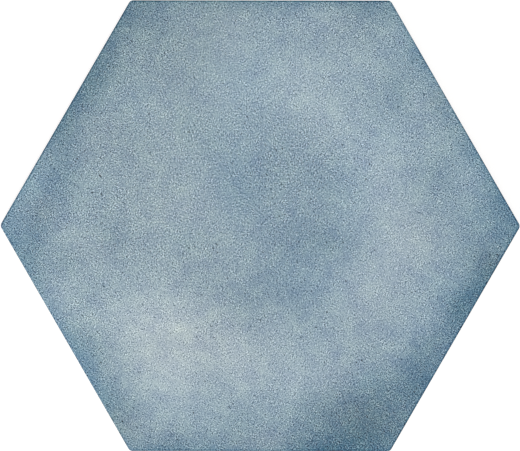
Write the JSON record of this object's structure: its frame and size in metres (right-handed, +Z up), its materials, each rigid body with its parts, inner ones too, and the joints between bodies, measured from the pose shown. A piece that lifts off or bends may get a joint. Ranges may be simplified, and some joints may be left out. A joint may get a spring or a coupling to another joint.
{
  "type": "hexagon floor tile",
  "caption": "Regular hexagon floor tile of pressed porcelain with a matt mottled glaze, a small rounded arris, a chamfered back and a honeycomb of shallow cells pressed into the back.",
  "frame": {"origin": "middle of the back, in the plane that the tile rests on", "axes": "+X from the middle to one corner, +Y square to one straight edge, +Z up through the walking face"},
  "size_m": [0.2014, 0.175, 0.009],
  "materials": {
    "fired_tile": "matt glaze, mottled blue-grey, on a bare grey-beige porcelain body"
  },
  "bodies": {
    "root": {"hexagon_tile": "fired_tile"}
  },
  "joints": []
}
